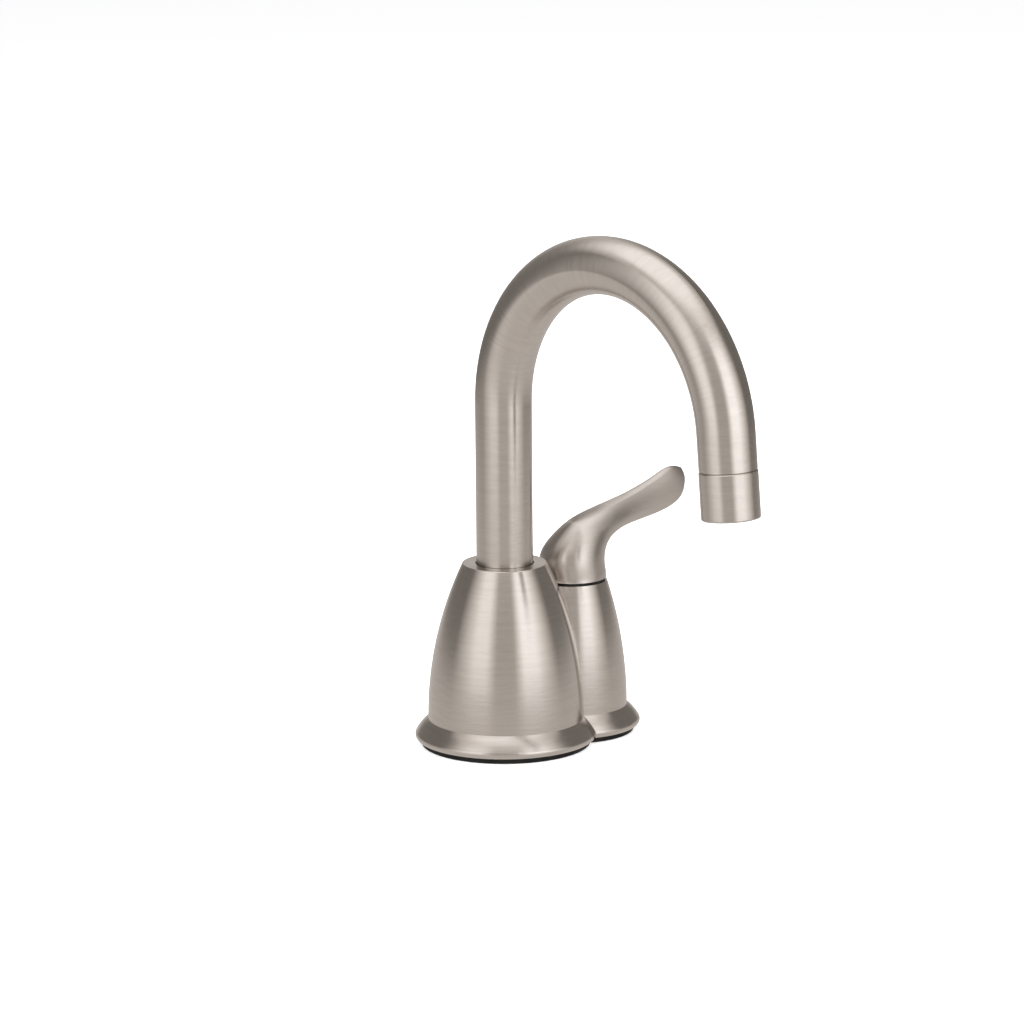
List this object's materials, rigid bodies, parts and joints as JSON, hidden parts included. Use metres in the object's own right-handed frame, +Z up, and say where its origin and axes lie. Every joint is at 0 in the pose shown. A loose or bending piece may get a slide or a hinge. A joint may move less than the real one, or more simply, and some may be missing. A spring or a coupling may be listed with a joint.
{
  "type": "instant hot water faucet",
  "caption": "Deck-mounted gooseneck hot water faucet: two joined bell bodies on a flared flange, swivelling spout with aerator and a self-closing side lever.",
  "frame": {"origin": "where the spout's axis meets the counter: the centre of the hot return port's mouth, level with the gasket's underside", "axes": "+Z up along the spout's riser; +X from the spout's axis to the valve's axis, the way the lever points; the spout reaches out about -Y"},
  "size_m": [0.1261, 0.17, 0.2084],
  "materials": {
    "nickel": "fine circumferential brushing, satin nickel",
    "brass": "machined",
    "copper": "drawn tube",
    "black_rubber": "moulded, matte",
    "black_plastic": "moulded",
    "white_plastic": "moulded acetal",
    "steel": "plain stainless"
  },
  "bodies": {
    "base": {"body_casting": "nickel", "base_gasket": "black_rubber", "base_plate": "steel", "plate_screws": "steel", "swivel_bushing": "white_plastic", "thrust_washer": "white_plastic", "seal_housing": "brass", "valve_body": "brass", "feed_tube": "copper", "feed_fitting": "brass", "bonnet_nut": "brass", "return_spring": "steel", "glide_ring": "black_plastic"},
    "spout": {"spout_tube": "nickel", "spout_ferrule": "brass", "spout_seals": "black_rubber", "retaining_clip": "steel", "aerator_sleeve": "nickel", "aerator_core": "white_plastic", "aerator_screen": "steel", "aerator_washer": "black_rubber"},
    "lever": {"lever_handle": "nickel", "lever_set_screw": "steel", "valve_stem": "brass", "stem_seal": "black_rubber"},
    "plunger": {"valve_plunger": "brass", "seat_washer": "black_rubber"}
  },
  "joints": [
    {"name": "spout_swivel", "type": "hinge", "parent": "base", "child": "spout", "pos_m": [0, 0, 0.05], "axis": [0, 0, 1], "continuous": true},
    {"name": "lever_turn", "type": "hinge", "parent": "base", "child": "lever", "pos_m": [0.0334, 0, 0.062], "axis": [0, 0, 1], "range_deg": [0, 50], "stiffness_Nm_per_rad": 0.15, "springref_deg": -20.05},
    {"name": "plunger_lift", "type": "slide", "parent": "base", "child": "plunger", "axis": [0, 0, 1], "range_m": [0, 0.0025], "deforming": ["return_spring"]}
  ],
  "couplings": [
    {"joint": "plunger_lift", "follows": "lever_turn", "m_per_rad": 0.00286}
  ]
}
